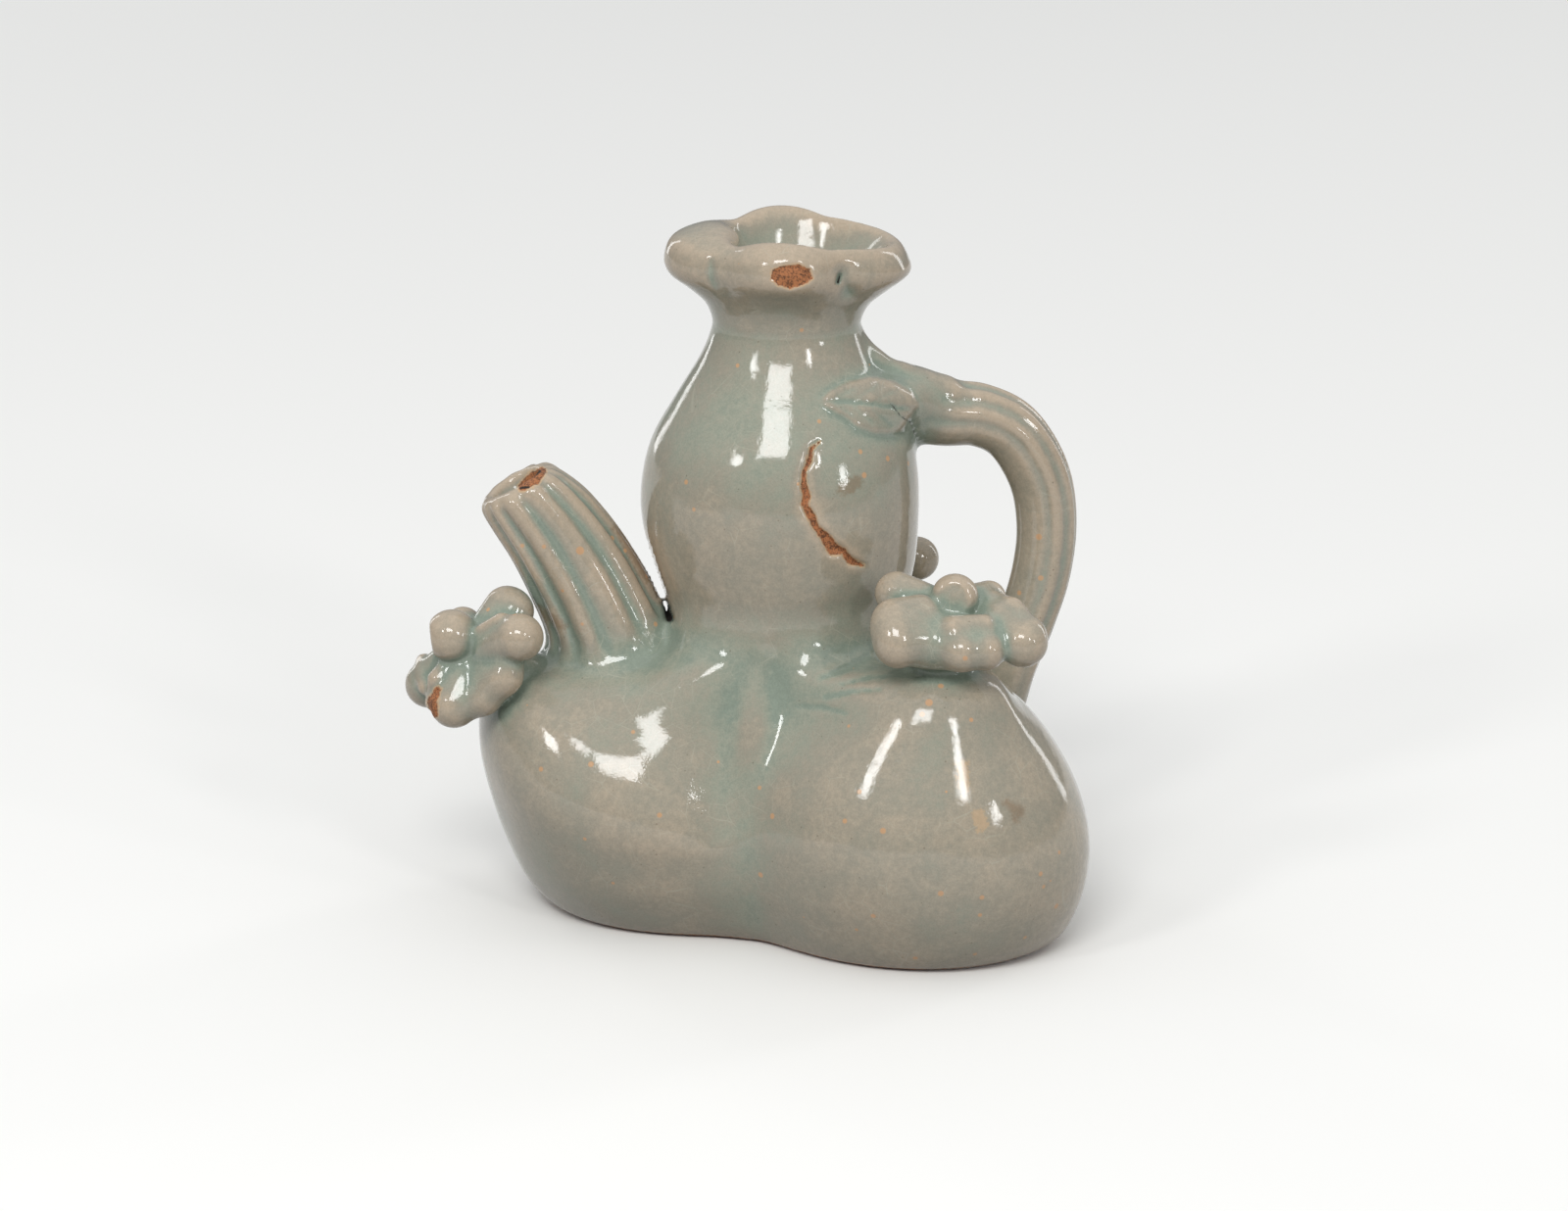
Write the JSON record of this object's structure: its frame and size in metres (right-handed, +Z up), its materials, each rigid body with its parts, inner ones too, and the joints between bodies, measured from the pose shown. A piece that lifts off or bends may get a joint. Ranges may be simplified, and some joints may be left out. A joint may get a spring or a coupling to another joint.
{
  "type": "ceramic water dropper",
  "caption": "Small hand-built celadon-glazed water dropper: joined hollow fruits under a pear-shaped bulb, lobed mouth, fluted slanting spout, loop handle and applied flowers.",
  "frame": {"origin": "on the floor, under the axis of the upper bulb", "axes": "+Z up; the spout points to -X, the handle to +X, and the side shown in the picture faces -Y"},
  "size_m": [0.0854, 0.0743, 0.0877],
  "materials": {
    "glaze": null,
    "glaze_warm": "the same glaze where it runs thin and pinkish tan over raised parts; stands in for glazed stoneware",
    "foot_clay": "thinly glazed brownish fired clay at the foot; stands in for fired stoneware"
  },
  "bodies": {
    "root": {"base_slab": "foot_clay", "lobe_left": "glaze", "lobe_front": "glaze", "lobe_back": "glaze", "upper_bulb": "glaze", "neck_mouth": "glaze", "spout": "glaze_warm", "handle": "glaze_warm", "leaf_front": "glaze_warm", "leaf_back": "glaze_warm", "left_petal_1": "glaze_warm", "left_petal_2": "glaze_warm", "left_petal_3": "glaze_warm", "left_petal_4": "glaze_warm", "left_petal_5": "glaze_warm", "left_button": "glaze_warm", "front_petal_1": "glaze_warm", "front_petal_2": "glaze_warm", "front_petal_3": "glaze_warm", "front_petal_4": "glaze_warm", "front_petal_5": "glaze_warm", "front_button": "glaze_warm", "back_petal_1": "glaze_warm", "back_petal_2": "glaze_warm", "back_petal_3": "glaze_warm", "back_petal_4": "glaze_warm", "back_petal_5": "glaze_warm", "back_button": "glaze_warm"}
  },
  "joints": []
}
